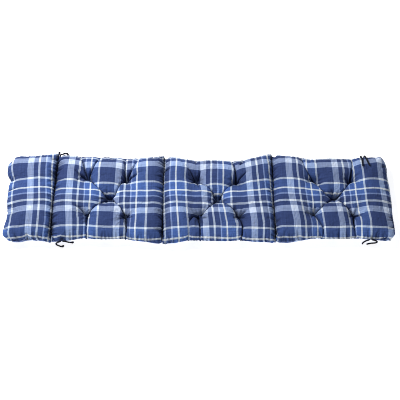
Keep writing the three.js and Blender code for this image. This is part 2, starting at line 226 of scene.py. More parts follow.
# Places where the edge seam is drawn in, with how far
NOTCHES = {
    "near": [
        (-0.851, 0.009), (-0.69, 0.006), (-0.562, 0.006), (-0.366, 0.006), (-0.058, 0.008), (0.007, 0.002),
        (0.207, 0.006), (0.42, 0.003), (0.498, 0.005), (0.56, 0.003), (0.604, 0.003), (0.786, 0.004),
    ],
    "far": [
        (-0.858, 0.002), (-0.622, 0.003), (-0.522, 0.003), (-0.387, 0.003), (-0.31, 0.003), (-0.019, 0.003),
        (0.168, 0.004), (0.24, 0.003), (0.534, 0.004), (0.798, 0.004),
    ],
}
NOTCH_WIDTH = 0.011
NOTCH_FADE = (0.045, 1.5)

# How far the filled cover's outline lies outside the solid's, at places along each side
BULGES = {
    "near": [
        (-0.95, 0), (-0.89, 0.004), (-0.84, -0.003), (-0.79, -0.007), (-0.74, -0.003), (-0.66, 0),
        (-0.6, -0.005), (-0.54, -0.004), (-0.4, -0.005), (-0.34, 0.005), (-0.28, 0.004), (-0.22, 0.004),
        (-0.2, 0.002), (-0.183, -0.01), (-0.166, 0), (-0.12, 0.005), (-0.06, -0.003), (0.05, -0.004),
        (0.22, 0), (0.28, 0.004), (0.34, -0.004), (0.366, -0.005), (0.382, -0.016), (0.398, -0.005),
        (0.44, 0.006), (0.48, 0.007), (0.54, 0.003), (0.6, -0.005), (0.66, -0.007), (0.74, -0.006),
        (0.8, -0.003), (0.84, 0),
    ],
    "far": [
        (-0.72, 0), (-0.68, 0.004), (-0.6, 0.008), (-0.56, 0.012), (-0.52, 0.003), (-0.45, -0.003),
        (-0.41, -0.002), (-0.38, 0.003), (-0.34, -0.002), (-0.3, -0.008), (-0.24, -0.012), (-0.18, -0.009),
        (-0.12, -0.009), (-0.07, -0.011), (-0.03, -0.006), (0.12, -0.006), (0.2, -0.004), (0.26, -0.002),
        (0.34, 0), (0.4, -0.006), (0.44, 0.001), (0.5, 0.006), (0.54, 0.009), (0.58, -0.002), (0.84, -0.002),
        (0.9, 0), (0.95, -0.005), (0.976, -0.01),
    ],
    "head": [
        (-0.24, 0), (-0.17, -0.002), (-0.13, -0.013), (-0.095, -0.028), (-0.075, -0.017), (-0.05, -0.014),
        (0, -0.01), (0.05, -0.006), (0.09, -0.006), (0.105, 0.006), (0.12, 0.018), (0.15, 0.026),
        (0.18, 0.025), (0.21, 0.018), (0.24, 0.008),
    ],
    "foot": [
        (-0.24, -0.01), (-0.2, -0.002), (-0.16, -0.005), (-0.12, -0.011), (-0.06, -0.013), (0, -0.015),
        (0.08, -0.011), (0.14, 0), (0.18, -0.001), (0.205, -0.01), (0.24, -0.024),
    ],
}

# How the ends draw in the lattice's columns, and up to where its rows have the flat cloth's full width
END_STRAIGHT = 0.195  # only so far from the middle line
END_DRAWN = 0.012  # at most
END_FADE = (0.1, 1.6)
FULL_WIDTH_TO = 0.925

# The ties' cords. Each is sewn into the edge seam at a place along the cushion, and each of its two strands
# runs through points given along the edge from there, out from the edge, and up from the floor.
CORD = 0.008
CORD_STEP = 0.0008
CORD_PATH_POINTS = 38
ROPE_STRANDS = 3
ROPE_SIDES = 18
ROPE_LAY = 0.016
ROPE_GROOVE = 0.16
ROPE_ENDS = (0.3, 0.5)  # how far the ends stand out, in radii
KNOT_RADIUS = 0.007
KNOT_STRAND = 0.34  # radius of the strand that the knot is tied in, in cord diameters
KNOT_INSET = 0.36  # how far its path runs inside the knot's radius, in cord diameters
KNOT_STRETCH = 1.15
KNOT_HEIGHT = 1.3
KNOT_POINTS = 73
KNOT_WAY = 3  # over how many of its last steps the cord's way is taken
FLOOR_CLEARANCE = 0.0003
TIES = [
    ("tie_head_near", -0.686, "near", True, {
        "left": [
            (-0.0046, 0.0038, 0.0308), (-0.008, 0.0048, 0.0294), (-0.0142, 0.0051, 0.0254),
            (-0.0204, 0.0048, 0.0208), (-0.026, 0.0053, 0.016), (-0.03, 0.0068, 0.0114),
            (-0.0298, 0.0089, 0.0074), (-0.0255, 0.0113, 0.005), (-0.0188, 0.0137, 0.0043),
            (-0.0116, 0.0171, 0.0043), (-0.0038, 0.02, 0.0043), (0.0046, 0.0194, 0.0043),
        ],
        "right": [
            (0.0046, 0.0038, 0.0308), (0.008, 0.0046, 0.0296), (0.0141, 0.0031, 0.026),
            (0.0199, 0.0019, 0.0216), (0.0257, 0.0011, 0.0166), (0.0315, -0.0001, 0.0118),
            (0.0379, -0.0015, 0.0076), (0.0441, -0.0021, 0.005), (0.051, -0.0016, 0.0043),
        ],
    }),
    ("tie_head_far", -0.738, "far", True, {
        "left": [
            (-0.0046, 0.0005, 0.031), (-0.0047, 0.005, 0.031), (-0.005, 0.0105, 0.0294),
            (-0.0054, 0.016, 0.0246), (-0.0058, 0.0215, 0.0174), (-0.0062, 0.027, 0.01),
            (-0.0066, 0.0325, 0.0055), (-0.007, 0.039, 0.0043),
        ],
        "right": [
            (0.0046, 0.0005, 0.031), (0.0048, 0.005, 0.031), (0.0058, 0.0105, 0.0294),
            (0.0074, 0.0163, 0.0246), (0.0096, 0.022, 0.0174), (0.0126, 0.0278, 0.01),
            (0.0166, 0.0334, 0.0057), (0.022, 0.0374, 0.0045), (0.0284, 0.0382, 0.0043),
            (0.034, 0.0356, 0.0043), (0.038, 0.0304, 0.0043),
        ],
    }),
    ("tie_foot_far", 0.856, "far", False, {
        "left": [
            (-0.0046, 0.0005, 0.031), (-0.0048, 0.005, 0.0314), (-0.006, 0.0115, 0.034),
            (-0.0082, 0.0175, 0.0405), (-0.0102, 0.0206, 0.0495), (-0.0112, 0.0186, 0.059),
            (-0.011, 0.0116, 0.067), (-0.0104, 0.0016, 0.0726), (-0.01, -0.0095, 0.0764),
            (-0.01, -0.022, 0.0798), (-0.01, -0.035, 0.0826), (-0.0104, -0.048, 0.0854),
            (-0.011, -0.057, 0.087),
        ],
        "right": [
            (0.0046, 0.0005, 0.031), (0.0048, 0.005, 0.0314), (0.0056, 0.0115, 0.034),
            (0.007, 0.0175, 0.0405), (0.008, 0.0206, 0.0495), (0.0086, 0.0186, 0.059),
            (0.0098, 0.0116, 0.067), (0.0116, 0.0016, 0.0726), (0.0136, -0.0095, 0.0764),
            (0.016, -0.022, 0.0798), (0.0188, -0.035, 0.0826), (0.0218, -0.048, 0.0854),
            (0.0242, -0.057, 0.087),
        ],
    }),
    ("tie_foot_near", 0.856, "near", False, {
        "left": [
            (-0.0046, 0.0038, 0.0308), (-0.008, 0.0048, 0.0294), (-0.0131, 0.0055, 0.0254),
            (-0.0187, 0.0048, 0.0206), (-0.0245, 0.0049, 0.0156), (-0.0298, 0.006, 0.0108),
            (-0.0344, 0.0078, 0.0068), (-0.0379, 0.0107, 0.0049), (-0.0402, 0.0155, 0.0043),
        ],
        "right": [
            (0.0046, 0.0038, 0.0308), (0.008, 0.0048, 0.0294), (0.0158, 0.0051, 0.0258),
            (0.0235, 0.0051, 0.0216), (0.0302, 0.0058, 0.0172), (0.0333, 0.0074, 0.0128),
            (0.0313, 0.0087, 0.009), (0.0252, 0.0093, 0.006), (0.0169, 0.0097, 0.0046),
            (0.0099, 0.0101, 0.0043), (0.0028, 0.011, 0.0043), (-0.0044, 0.0124, 0.0043),
            (-0.0116, 0.0141, 0.0043), (-0.0183, 0.0161, 0.0043),
        ],
    }),
]

# The upper cloth's lattice: columns in each section, and rows across. The lower cloth has half as many.
COLUMNS = [64, 148, 148, 160]
ROWS = 136
SURPLUS = 0.07  # how much longer the flat cloth is than a smooth pillow's surface
ARC_POINTS = 12001

# The cloth solver: the coarse, middle and fine lattice's steps with their rounds, and how stiff each kind of
# link is where it is too long and where it is too short
LEVELS = [(4, 300), (2, 200), (1, 120)]
STIFFNESS = {"thread": (1.0, 0.05), "bias": (0.4, 0.02), "bend": (0.0, 0.05)}
DRIFT = 0.85
FILL_PUSH = 0.05
CREASE_HOLD = 0.5
FIRM_CUT = 0.005  # folds this deep hold the cloth with all of that
RIM_PLAY = 0.004  # how far a point of the rim may be out of place
RIM_GIVE = 0.8  # how much of that it keeps in a round, at most
SEAM_HELD = 5  # how many columns beside a seam keep their place along the cushion
SEAM_PULL = 0.2

# Painted shade: where the cloth lies deep in a fold, its colour is darkened to stand in for the shadow there.
# A shade is full up to its core less 1, and gone from its core on, both counted in reaches.
SHADE_CORE = {"seam": 1.35, "crease": 1.25, "pit": 1.3, "notch": 1.2, "tie": 1.5}
# Painted shade along the seams, at the tufts' pits, at the notches and at the near ties' bases
SEAM_SHADE = [0.0125, 0.0085, 0.0095]
SEAM_SHADE_NEARER = 0.45  # how much wider the seams' shade is towards the near edge
SEAM_SHADE_WIDENS = (0.02, 0.2)  # from where, and over what width
SEAM_SHADE_ENDS = (-0.275, 0.05)  # where, and over what width
SEAM_RAGGED = 0.35  # how uneven its width is
SEAM_WAVES = (70, 113, 31)  # in radians per metre
UNSHADED_RIM = 0.012
CREASE_SHADE = 0.0055
PIT_SHADE = (0.008, 0.0032)
NOTCH_SHADE = 0.01
NOTCH_SHADE_RUN = 1.5  # how far inwards it runs, in draws of the notch
NOTCH_DRAWN = 0.004  # a notch drawn in this far is shaded fully
TIE_SHADE = (0.013, 0.018)  # along the edge and across it
# Painted shade along the gathers, the pleats and the fine wrinkles
FOLD_PAINTED_SHADE = 0.68
FULLY_SHADED_FOLD = 0.006
WRINKLE_PAINTED_SHADE = 0.85
WRINKLE_SHADE_POWER = 1.5

# The plaid: where the lines of the sett lie on the flat cloth. Each row gives a count of repeats, and how far
# along the flat cloth it lies on the far side, in the middle and on the near side.
SETT_ROWS = (0.144, -0.033, -0.165)
SETT_ALONG = [
    (-0.387, 0.05, 0.058, 0.066), (0, 0.144, 0.159, 0.165), (0.417, 0.257, 0.272, 0.278),
    (1.0, 0.428, 0.435, 0.445), (1.417, 0.536, 0.543, 0.548), (1.613, 0.586, 0.594, 0.595),
    (2.0, 0.691, 0.69, 0.693), (2.417, 0.8, 0.798, 0.801), (2.613, 0.852, 0.853, 0.855),
    (3.417, 1.074, 1.088, 1.093), (3.613, 1.124, 1.138, 1.144), (4.0, 1.222, 1.232, 1.242),
    (4.417, 1.332, 1.332, 1.351), (4.613, 1.383, 1.382, 1.403), (5.0, 1.477, 1.485, 1.501),
    (5.417, 1.59, 1.602, 1.617), (6.0, 1.765, 1.781, 1.795), (6.417, 1.868, 1.887, 1.897),
    (6.613, 1.917, 1.93, 1.94), (7.0, 2.02, 2.02, 2.031), (7.417, 2.123, 2.122, 2.133),
    (7.613, 2.171, 2.171, 2.182), (8.0, 2.265, 2.268, 2.282),
]
# The same across it, and how much further it lies at places along the cushion, on the near and far sides
SETT_ACROSS = [
    (0.417, -0.2546), (0.613, -0.197), (1.0, -0.0933), (1.17, -0.0467), (1.3, -0.0043), (1.417, 0.0301),
    (1.613, 0.0871), (2.0, 0.2053),
]
SETT_DRIFT = [
    (0.16, 0, 0.001), (0.439, 0.001, -0.003), (0.629, -0.006, -0.009), (0.867, -0.005, -0.008),
    (1.088, 0.007, -0.003), (1.302, 0.01, 0.001), (1.537, -0.001, 0), (1.774, -0.002, 0.007),
    (2.001, -0.004, -0.003), (2.252, 0, 0.015),
]
SETT_SIDES = 0.3  # how far apart the two sides are

# How gathers shift the plaid: outwards at the notches, and to and fro at the wrinkles around the tufts
RIM_GATHER = 2.3
RIM_GATHER_FADE = (0.09, 1.5)
RIM_GATHER_WIDTH = 0.018
RUFFLE = 0.008
RUFFLE_FADE = (0.1, 1)

# A thread is its colour, and the weight with which it shows over the threads that it crosses
THREADS = {
    "indigo": (0.041, 0.067, 0.19, 0.23),
    "blue": (0.076, 0.152, 0.44, 0.2),
    "pale": (0.76, 0.84, 1.0, 0.33),
    "mist": (0.5, 0.62, 0.9, 0.3),
    "sky": (0.5, 0.63, 0.97, 0.29),
    "white": (0.9, 0.96, 1.0, 0.42),
    "cream": (0.96, 1.0, 1.0, 0.8),
}
# The sett, from the middle of its wide pale band: where each stripe begins, and its thread
SETT_STRIPES = [
    (0, "pale"), (0.011, "mist"), (0.019, "pale"), (0.034, "mist"), (0.042, "pale"), (0.055, "mist"),
    (0.064, "indigo"), (0.149, "white"), (0.191, "indigo"), (0.286, "sky"), (0.314, "blue"),
    (0.402, "cream"), (0.432, "blue"), (0.593, "white"), (0.63, "indigo"), (0.936, "mist"), (0.945, "pale"),
    (0.958, "mist"), (0.966, "pale"), (0.981, "mist"), (0.989, "pale"),
]
THREAD_ROOT = 0.2  # crossing threads mix nearly as the product of their colours
NOISE_RANGE = (0.3, 0.7)  # a noise texture's values lie mostly between these
THREADS_PER_METRE = 900
WEAVE_HEIGHT = 0.0001
WEAVE_STRENGTH = 0.6
SLUB = 0.1  # thicker and thinner yarn, seen as faint streaks both ways
SLUB_STRETCH = (230, 9)
CRUMPLE_NOISE = {"Scale": 38, "Detail": 5, "Roughness": 0.55, "Distortion": 0.6}
CRUMPLE_HEIGHT = 0.006
CLOTH_ROUGHNESS = (0.78, 0.92)
# Painted shade: how far at most the folds' colour is darkened, and the near-black blue it is darkened towards
PAINTED_SHADE_STRENGTH = 0.92
PAINTED_SHADE_COLOUR = (0.004, 0.008, 0.028, 1)

# The ties' yarn
YARN_DARK = (0.006, 0.007, 0.012, 1)
YARN_WORN = (0.016, 0.018, 0.03, 1)
YARN_FLUFF = 1400
YARN_WEAR = 90
YARN_ROUGHNESS = (0.7, 0.95)
NAP_HEIGHT = 0.0003
NAP_STRENGTH = 0.7

# The floor, which gives off light so that it shows as white, and each light's place, size and power
FLOOR_HALF = 30.0
FLOOR_GREY = 0.9
FLOOR_GLOW = 0.75
WHITE = (1, 1, 1, 1)
LIGHT = (0.965, 0.98, 1.0)
LIGHTS = {
    "key": ((-2.0, 1.8, 3.0), 1.1, 162),
    "front": ((0.6, -3.4, 2.6), 3.0, 34),
}
WORLD_STRENGTH = 0.15


def add_object(name, data):
    obj = bpy.data.objects.new(name, data)
    bpy.context.scene.collection.objects.link(obj)
    return obj


def set_camera():
    lens = bpy.data.cameras.new("camera")
    lens.lens = CAMERA_LENS
    lens.sensor_width = CAMERA_SENSOR
    camera = add_object("camera", lens)
    away = Vector((0, -math.cos(CAMERA_ELEVATION), math.sin(CAMERA_ELEVATION)))
    camera.location = CAMERA_TARGET + CAMERA_DISTANCE * away
    camera.rotation_euler = (-away).to_track_quat("-Z", "Y").to_euler()
    bpy.context.scene.camera = camera
    bpy.context.scene.view_settings.view_transform = "Standard"
    bpy.context.scene.cycles.filter_width = PIXEL_FILTER


set_camera()

# What the other sections use


def clamp01(t):
    return np.clip(t, 0, 1)


def rolled(distance, roll):
    """How far up its rise a roll is: 0 where it starts, steeply up from there, and 1 from its reach on."""
    reach, squareness = roll
    return (1 - (1 - clamp01(distance / reach)) ** squareness) ** (1 / squareness)


def fading(distance, fade):
    """1 at no distance, and 0 from the fade's reach on."""
    reach, power = fade
    return clamp01(1 - distance / reach) ** power


def at_tuft(pair, tuft):
    return pair[1] if tuft[1] < NEAR_TUFTS else pair[0]


def run_along(line):
    """The length of a line up to each of its points."""
    return np.concatenate([[0], np.cumsum(np.linalg.norm(np.diff(line, axis=0), axis=1))])


def smooth_line(points, spacing):
    """Points at that spacing on a centripetal Catmull-Rom curve through the given ones."""
    points = np.array(points, float)
    ends = [2 * points[0] - points[1], 2 * points[-1] - points[-2]]
    padded = np.concatenate([ends[:1], points, ends[1:]])
    found = []
    t = np.linspace(0, 1, LINE_STEPS, endpoint=False)[:, None]
    for p0, p1, p2, p3 in zip(padded, padded[1:], padded[2:], padded[3:]):
        d0, d1, d2 = (max(np.sqrt(np.linalg.norm(b - a)), TINY) for a, b in ((p0, p1), (p1, p2), (p2, p3)))
        out = d1 * ((p1 - p0) / d0 - (p2 - p0) / (d0 + d1) + (p2 - p1) / d1)
        into = d1 * ((p2 - p1) / d1 - (p3 - p1) / (d1 + d2) + (p3 - p2) / d2)
        bend = 3 * (p2 - p1) - 2 * out - into
        turn = 2 * (p1 - p2) + out + into
        found.append(p1 + out * t + bend * t**2 + turn * t**3)
    line = np.concatenate([*found, points[-1:]])
    run = run_along(line)
    even = np.linspace(0, run[-1], max(2, round(run[-1] / spacing) + 1))
    return np.stack([np.interp(even, run, line[:, k]) for k in range(points.shape[1])], -1)


def between(values, u, v):
    """Smooth values between those of a grid that repeats, at places counted in its cells."""
    i, j = np.floor(u).astype(int), np.floor(v).astype(int)
    s, t = u - i, v - j
    s, t = s * s * (3 - 2 * s), t * t * (3 - 2 * t)
    n, m = values.shape
    low = values[i % n, j % m] * (1 - s) + values[(i + 1) % n, j % m] * s
    high = values[i % n, (j + 1) % m] * (1 - s) + values[(i + 1) % n, (j + 1) % m] * s
    return low * (1 - t) + high * t


def noise(u, v, seed):
    """Smooth random values from -1 to 1, one for each unit square."""
    return between(np.random.default_rng(seed).uniform(-1, 1, NOISE_CELLS), u, v)


def new_mesh(name, points, faces):
    mesh = bpy.data.meshes.new(name)
    mesh.from_pydata(points.tolist(), [], faces)
    mesh.polygons.foreach_set("use_smooth", np.ones(len(faces), bool))
    return add_object(name, mesh)


# The outline in plan, read from the solid


def read_outline():
    """For each side, how far out the solid's edge lies at places along it."""
    corners = np.array([corner.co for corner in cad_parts["cushion"].data.vertices])
    line = corners[np.abs(corners[:, 2] - OUTLINE_Z) < OUTLINE_SLACK]
    sides = {}
    for side, sign in OUTWARDS.items():
        out = int(side in ("near", "far"))
        edge = line[sign * line[:, out] > OUTLINE_FROM[out]]
        edge = edge[np.argsort(sign * edge[:, out])]
        furthest = dict(zip(np.round(edge[:, 1 - out], 4), edge[:, out]))
        sides[side] = np.array(sorted(furthest.items()))
    return sides


OUTLINE = read_outline()


def solid_edge(side, place):
    return np.interp(place, *OUTLINE[side].T)


def bulge(side, place):
    return np.interp(place, *np.array(BULGES[side]).T)


def edge_at(side, place):
    """Where a side's edge lies, at places along it."""
    return solid_edge(side, place) + OUTWARDS[side] * bulge(side, place)


def inside_long_edges(x, y):
    return np.minimum(y - edge_at("near", x), edge_at("far", x) - y)


def to_edge(x, y):
    """How far points lie inside the cushion's edge."""
    along = np.minimum(x - edge_at("head", y), edge_at("foot", y) - x)
    return np.minimum(inside_long_edges(x, y), along).clip(0)


def to_seam(x):
    """How far points lie from the nearest seam."""
    return np.min([np.abs(x - seam) for seam in SEAMS_X], axis=0)


# The ties: cords laid from three twisted strands, some with a knot over the end


def rope(name, line, radius):
    """A laid cord along closely spaced points: three round strands that twist around each other."""
    tangent = np.gradient(line, axis=0)
    tangent /= np.linalg.norm(tangent, axis=1, keepdims=True)
    side = np.cross(tangent[0], (0.0, 0.0, 1.0))
    rings = []
    angle = 2 * np.pi * np.arange(ROPE_SIDES) / ROPE_SIDES
    for place, way, length in zip(line, tangent, run_along(line)):
        side = side - way * (side @ way)
        side /= np.linalg.norm(side)
        other = np.cross(way, side)
        turned = angle - 2 * np.pi * length / ROPE_LAY
        reach = radius * (1 - ROPE_GROOVE * (1 - np.abs(np.cos(ROPE_STRANDS * turned / 2))))
        around = np.cos(angle)[:, None] * side + np.sin(angle)[:, None] * other
        rings.append(place + reach[:, None] * around)
    first = line[0] - tangent[0] * radius * ROPE_ENDS[0]
    last = line[-1] + tangent[-1] * radius * ROPE_ENDS[1]
    points = np.concatenate([*rings, [first, last]])
    round_about = [(a, (a + 1) % ROPE_SIDES) for a in range(ROPE_SIDES)]
    faces = []
    for low in range(0, (len(line) - 1) * ROPE_SIDES, ROPE_SIDES):
        high = low + ROPE_SIDES
        faces += [(low + a, low + b, high + b, high + a) for a, b in round_about]
    for a, b in round_about:
        faces.append((len(points) - 2, b, a))
        faces.append((len(points) - 1, high + a, high + b))
    return new_mesh(name, points, faces)


def knot_line(centre, way):
    """The path of a small overhand knot drawn tight around a cord that ends at centre, running along way."""
    t = np.linspace(0, 2 * np.pi, KNOT_POINTS)
    x = KNOT_STRETCH * (np.sin(t) + 2 * np.sin(2 * t))
    y = np.cos(t) - 2 * np.cos(2 * t)
    z = -np.sin(3 * t) * KNOT_HEIGHT
    way_x = np.array(way) / np.linalg.norm(way)
    way_y = np.cross((0, 0, 1.0), way_x)
    way_y /= np.linalg.norm(way_y)
    way_z = np.cross(way_x, way_y)
    size = (KNOT_RADIUS - CORD * KNOT_INSET) / 3
    return centre + size * (x[:, None] * way_x + y[:, None] * way_y + z[:, None] * way_z)


def make_knot(name, line):
    centre = line[-1].copy()
    centre[2] = KNOT_RADIUS + FLOOR_CLEARANCE
    knot = rope(name, knot_line(centre, line[-1] - line[-1 - KNOT_WAY]), CORD * KNOT_STRAND)
    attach(knot, "root")
    return knot


def make_strand(name, x, side, knotted, route):
    """One strand of a tie, which is sewn into the edge at x, with the knot at its end where it has one."""
    outwards = OUTWARDS[side]
    start = x + route[0][0]
    edge = outwards * max(abs(edge_at(side, start - CORD / 2)), abs(edge_at(side, start + CORD / 2)))
    line = smooth_line([(x + along, edge + outwards * out, up) for along, out, up in route], CORD_STEP)
    obj = rope(f"{name}_cord", line, CORD / 2)
    path = line[:: max(1, len(line) // CORD_PATH_POINTS)]
    path = np.concatenate([path, line[-1:]]) if np.any(path[-1] != line[-1]) else path
    pieces = [make_knot(f"{name}_knot", line)] if knotted else []
    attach(obj, "root")
    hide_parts(name)
    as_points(path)
    return [obj, *pieces]


ties = []
for tie, x, side, knotted, strands in TIES:
    for strand, route in strands.items():
        ties += make_strand(f"{tie}_{strand}", x, side, knotted, route)

# The flat cloth, and where its lattice lies before it is relaxed


def cloth_lengths(start, end, crown, start_roll, end_roll):
    """Places from start to end, and the length of flat cloth up to each, over a smooth pillow."""
    place = np.linspace(start, end, ARC_POINTS)
    height = (crown - SEAM_TOP) * (rolled(place - start, start_roll) * rolled(end - place, end_roll))
    step = np.hypot(np.diff(place), np.diff(height)) + SURPLUS * np.diff(place)
    return place, np.concatenate([[0], np.cumsum(step)])


def along_cushion():
    """The place of each column along the cushion, and along the flat cloth."""
    lines = [-END_X, *SEAMS_X, END_X]
    places, lengths = [np.array([-END_X])], [np.array([0.0])]
    for k, count in enumerate(COLUMNS):
        rolls = [EDGE_ROLL if line in (-END_X, END_X) else SEAM_ROLL for line in lines[k : k + 2]]
        place, length = cloth_lengths(lines[k], lines[k + 1], CROWNS[k], *rolls)
        even = length[-1] * np.arange(1, count + 1) / count
        places.append(np.interp(even, length, place))
        lengths.append(lengths[-1][-1] + even)
    return np.concatenate(places), np.concatenate(lengths)


def across(places):
    """The near edge and the width, in columns, at places along the cushion."""
    near = edge_at("near", places)[:, None]
    return near, edge_at("far", places)[:, None] - near


def lay_out():
    """Plan position of each lattice point (X, Y) and its place on the flat cloth (U, V)."""
    places, lengths = along_cushion()
    half = TYPICAL_WIDTH / 2
    place, length = cloth_lengths(-half, half, CROWNS[1], EDGE_ROLL, EDGE_ROLL)
    share = (place + half) / TYPICAL_WIDTH
    length -= length[-1] / 2
    even = length[-1] * (2 * np.arange(ROWS + 1) / ROWS - 1)
    near, width = across(places)
    y = near + width * np.interp(even, length, share)
    x = np.repeat(places[:, None], ROWS + 1, 1)
    for side in ("head", "foot"):
        sign = OUTWARDS[side]
        drawn_in = np.clip(END_X - sign * solid_edge(side, y), 0, END_DRAWN) * (np.abs(y) < END_STRAIGHT)
        x -= sign * (drawn_in - bulge(side, y)) * fading(END_X - sign * x, END_FADE)
    near, width = across(np.clip(places, -FULL_WIDTH_TO, FULL_WIDTH_TO))
    v = np.interp((y - near) / width, share, length)
    u = np.repeat(lengths[:, None], ROWS + 1, 1)
    x, y = pinched(x, y)
    return np.stack([x, y], -1), np.stack([u, v], -1)


# The cloth solver


def pull(a, b, rest, stiff, soft):
    """Moves points a and b towards their rest distance: stiff where too far, soft where too near."""
    gap = b - a
    length = np.sqrt((gap * gap).sum(-1))
    off = length - rest
    share = np.where(off > 0, stiff, soft) * 0.5 * off / np.maximum(length, TINY)
    step = share[..., None] * gap
    a += step
    b -= step


def pairs(count, apart):
    """Slices of two ends `apart` places apart, in groups in which no point comes twice."""
    for start in range(2 * apart):
        yield slice(start, count - apart, 2 * apart), slice(start + apart, count, 2 * apart)


def links(columns, rows):
    """Slices of the ends of a lattice's links, in groups in which no point comes twice, and their kind."""
    every = slice(None)
    for apart, kind in ((1, "thread"), (2, "bend")):
        for a, b in pairs(columns, apart):
            yield (a, every), (b, every), kind
        for a, b in pairs(rows, apart):
            yield (every, a), (every, b), kind
    for a, b in pairs(columns, 1):
        yield (a, slice(0, rows - 1)), (b, slice(1, rows)), "bias"
        yield (a, slice(1, rows)), (b, slice(0, rows - 1)), "bias"


def spread(places, a, b):
    return np.sqrt(((places[b] - places[a]) ** 2).sum(-1))


def relax(points, flat, folded, rounds, fill, hold, pin):
    """Relaxes points held together by the threads, the bias and the bending of a flat cloth. Where a fold
    takes in more than the flat cloth has, the fold counts. pin(points) holds what is sewn."""
    held = []
    for a, b, kind in links(*points.shape[:2]):
        rest = np.maximum(spread(flat, a, b), spread(folded, a, b)).astype(np.float32)
        held.append((points[a], points[b], rest, *STIFFNESS[kind]))
    before = points.copy()
    for _ in range(rounds):
        step = DRIFT * (points - before)
        step[..., 2] += hold * (fill - points[..., 2])
        before[:] = points
        points += step
        for link in held:
            pull(*link)
        pin(points)


# Creases and folds


def near_line(x, y, line, reach):
    """Lattice indices of points within reach of a line's box, and how far each is from the line's points."""
    low, high = line.min(0) - reach, line.max(0) + reach
    i, j = np.nonzero((x > low[0]) & (x < high[0]) & (y > low[1]) & (y < high[1]))
    return i, j, np.hypot(x[i, j, None] - line[:, 0], y[i, j, None] - line[:, 1])


def deepest(x, y, lines, profile):
    """How deep lines cut at each point. profile(depth, away) says it for one point of a line."""
    cut = np.zeros_like(x)
    for line, depth, reach in lines:
        i, j, away = near_line(x, y, line, reach)
        cut[i, j] = np.maximum(cut[i, j], profile(depth, away / reach).max(1))
    return cut


def crease_lines():
    """Every crease as (points along it, share of the height that it takes at each)."""
    lines = []
    for group, tufts in zip(CREASES, TUFTS):
        for route, *depths in group:
            places = [tufts[place] if isinstance(place, int) else place for place in route]
            line = smooth_line(places, CREASE_STEP)
            lines.append((line, np.interp(np.linspace(0, 1, len(line)), [0, 0.5, 1], depths)))
    return lines


def fold_line(start, turn, length, bow, depth, reach):
    """A fold as (points along it, depth at each, reach), which leaves start at an angle and bows aside."""
    run = np.linspace(FOLD_START, length, FOLD_POINTS)
    aside = bow * run**2
    along = run * np.cos(turn) - aside * np.sin(turn)
    across = run * np.sin(turn) + aside * np.cos(turn)
    depths = depth * np.linspace(1, 0, FOLD_POINTS) ** FOLD_TAPER
    return np.stack([start[0] + along, start[1] + across], -1), depths, reach


def spaced(dice, half):
    """Places from -half to half, a pleat's spacing apart."""
    places = -half + np.cumsum(dice.uniform(*PLEAT_SPACING, int(2 * half / PLEAT_SPACING[0])))
    return places[places < half]


def pleat_starts(dice):
    """Where the pleats start, which way they run, and how deep they are of what they could be."""
    for seam in SEAMS_X:
        for turn in (0, np.pi):
            yield from [(seam, y, turn, 1) for y in spaced(dice, PLEATED["seam"])]
    for side, turn, depth in (("near", np.pi / 2, 1), ("far", -np.pi / 2, FAR_PLEATS)):
        yield from [(x, edge_at(side, x), turn, depth) for x in spaced(dice, PLEATED["long"])]
    for side, turn in (("head", 0), ("foot", np.pi)):
        yield from [(edge_at(side, y), y, turn, 1) for y in spaced(dice, PLEATED["end"])]


def fold_lines():
    """The gathers around the tufts, and the pleats along the seams and the edge."""
    dice = np.random.default_rng(SEEDS["folds"])
    lines = []
    for group, count in zip(TUFTS, GATHERS):
        for tuft in group:
            places = np.arange(count) + dice.uniform(-FOLD_LEAN, FOLD_LEAN, count) + dice.uniform()
            for turn in places * 2 * np.pi / count:
                length, depth = dice.uniform(*GATHER_LENGTH), dice.uniform(*GATHER_DEPTH)
                bow = dice.uniform(-FOLD_BOW, FOLD_BOW)
                lines.append(fold_line(tuft, turn, length, bow, depth, GATHER_REACH))
    for x, y, turn, share in list(pleat_starts(dice)):  # every start is drawn before the first pleat
        length, depth = dice.uniform(*PLEAT_LENGTH), share * dice.uniform(*PLEAT_DEPTH)
        turn = turn + dice.uniform(-FOLD_LEAN, FOLD_LEAN)
        bow = dice.uniform(-FOLD_BOW, FOLD_BOW)
        lines.append(fold_line((x, y), turn, length, bow, depth, PLEAT_REACH))
    return lines


CREASE_LINES = crease_lines()
FOLD_LINES = fold_lines()


def pinched(x, y):
    """Draws the lattice in towards each crease, so that points lie along its bottom."""
    for line, depth in CREASE_LINES:
        i, j, away = near_line(x, y, line, PINCH_REACH)
        nearest = away.argmin(1)
        away = away.min(1)
        inner = CREASE_PINCH * clamp01(depth[nearest] / PINCH_DEPTH)
        kept = np.maximum(away - inner, 0) * PINCH_REACH / (PINCH_REACH - inner)
        share = np.where(away < PINCH_REACH, 1 - kept / np.maximum(away, TINY), 0)
        x[i, j] += share * (line[nearest, 0] - x[i, j])
        y[i, j] += share * (line[nearest, 1] - y[i, j])
    return x, y


def notched(x, y):
    """Draws the long edges in at their notches, and less so further in."""
    near, far = edge_at("near", x), edge_at("far", x)
    for side, edge in (("near", near), ("far", far)):
        inwards = fading(np.abs(y - edge), NOTCH_FADE)
        for place, draw in NOTCHES[side]:
            y -= OUTWARDS[side] * draw * inwards * np.exp(-(((x - place) / NOTCH_WIDTH) ** 2))
    return y


def sharpness(depth):
    """How much of a slit a crease has in its bottom: shallow creases have none."""
    return clamp01((depth - SHALLOW) / SHALLOW_BLEND)


def tufts_from(x, y):
    """Each tuft, and how far points lie from it."""
    for tuft in ALL_TUFTS:
        yield tuft, np.hypot(x - tuft[0], y - tuft[1])


def creases(reach):
    return [(line, depth, reach) for line, depth in CREASE_LINES]


